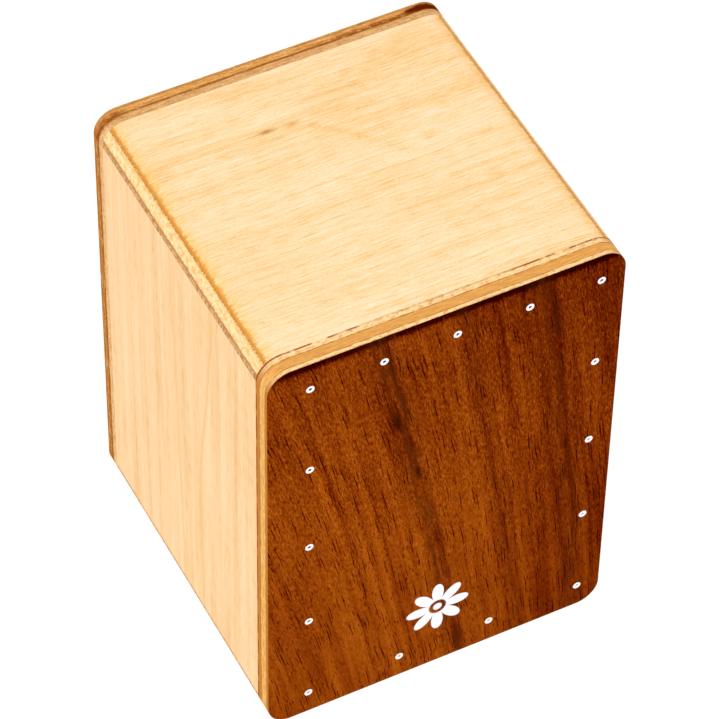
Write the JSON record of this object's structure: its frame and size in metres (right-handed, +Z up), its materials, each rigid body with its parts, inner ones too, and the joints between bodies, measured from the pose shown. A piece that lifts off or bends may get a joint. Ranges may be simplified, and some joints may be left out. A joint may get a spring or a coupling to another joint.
{
  "type": "cajon",
  "caption": "Small box drum of birch plywood with a dark veneered playing plate screwed to the front, a round sound hole in the back, inner snares and rubber feet.",
  "frame": {"origin": "on the floor under the feet, midway between the sides and midway between the playing plate and the back plate", "axes": "+Z up; the playing plate faces -Y and the back plate with the sound hole faces +Y; +X is to the right of a viewer who faces the playing plate"},
  "size_m": [0.14, 0.142, 0.198],
  "materials": {
    "birch_side": "pale birch plywood, sanded, thin satin lacquer, grain upright",
    "birch_top": "pale birch plywood, sanded, thin satin lacquer, grain across the width",
    "plate_plywood": "three-ply core with bare sanded edges",
    "dark_veneer": "red-brown open-pored veneer, upright grain, satin lacquer",
    "back_plywood": "pale three-ply, sanded, with scorched cutter marks at two corners",
    "softwood": "planed batten, no lacquer",
    "screw_steel": "bright nickel-plated countersunk wood screw",
    "snare_steel": "bare spring steel wire and strip",
    "foot_rubber": "matte black rubber"
  },
  "bodies": {
    "root": {"left_side_panel": "birch_side", "right_side_panel": "birch_side", "top_panel": "birch_top", "bottom_panel": "birch_top", "front_plate": "plate_plywood", "front_veneer": "dark_veneer", "back_plate": "back_plywood", "front_rail_top": "softwood", "front_rail_bottom": "softwood", "front_stile_left": "softwood", "front_stile_right": "softwood", "back_rail_top": "softwood", "back_rail_bottom": "softwood", "back_stile_left": "softwood", "back_stile_right": "softwood", "corner_block_top_left": "softwood", "corner_block_top_right": "softwood", "corner_block_bottom_left": "softwood", "corner_block_bottom_right": "softwood", "front_plate_screws": "screw_steel", "snare_bar": "softwood", "snare_clamp_left": "snare_steel", "snare_clamp_right": "snare_steel", "snare_strands_left": "snare_steel", "snare_strands_right": "snare_steel", "snare_end_plate_left": "snare_steel", "snare_end_plate_right": "snare_steel", "snare_screws": "screw_steel", "foot_front_left": "foot_rubber", "foot_front_right": "foot_rubber", "foot_back_left": "foot_rubber", "foot_back_right": "foot_rubber", "foot_screws": "screw_steel"}
  },
  "joints": []
}
